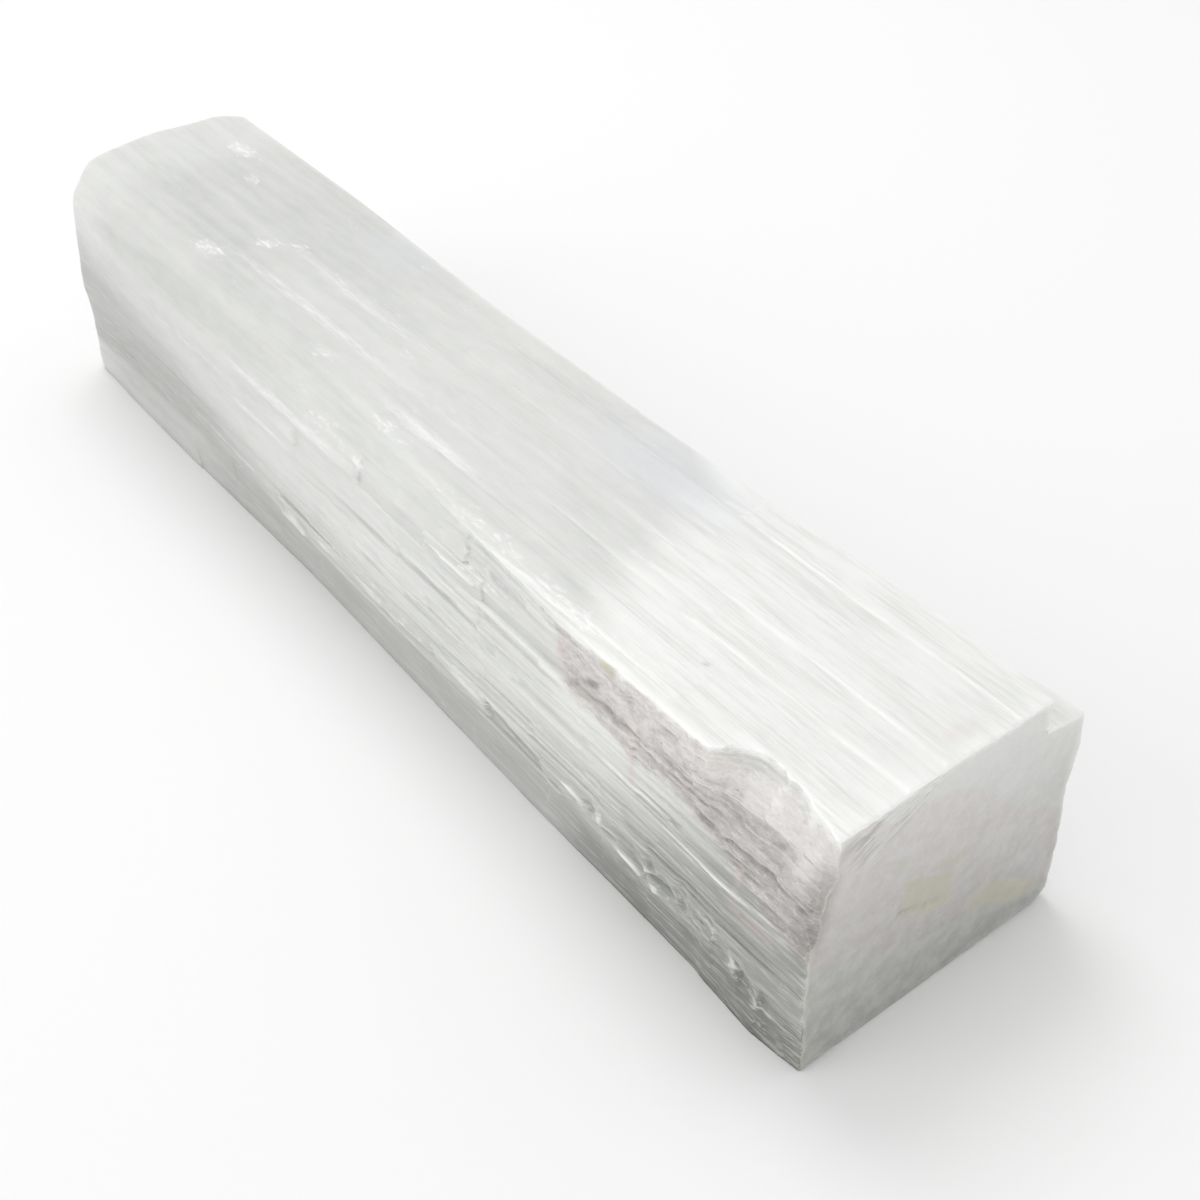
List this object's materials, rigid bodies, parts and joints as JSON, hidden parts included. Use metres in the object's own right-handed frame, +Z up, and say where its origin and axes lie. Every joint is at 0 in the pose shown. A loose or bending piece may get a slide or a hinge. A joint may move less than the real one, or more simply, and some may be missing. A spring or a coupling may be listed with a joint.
{
  "type": "selenite log",
  "caption": "Natural log of fibrous satin-spar selenite, silky white, with a sawn end, a broken end, splintery ledges along its sides and a stained weathered corner.",
  "frame": {"origin": "on the surface the log rests on, under the middle of its bounding box", "axes": "+X along the fibres towards the sawn end, +Y across towards the side with the long shelf, +Z up from the sole"},
  "size_m": [0.2072, 0.0478, 0.0395],
  "materials": {
    "selenite": "silky, translucent, fibrous along its length, with a mauve-grey weathered patch"
  },
  "bodies": {
    "root": {"selenite_log": "selenite"}
  },
  "joints": []
}
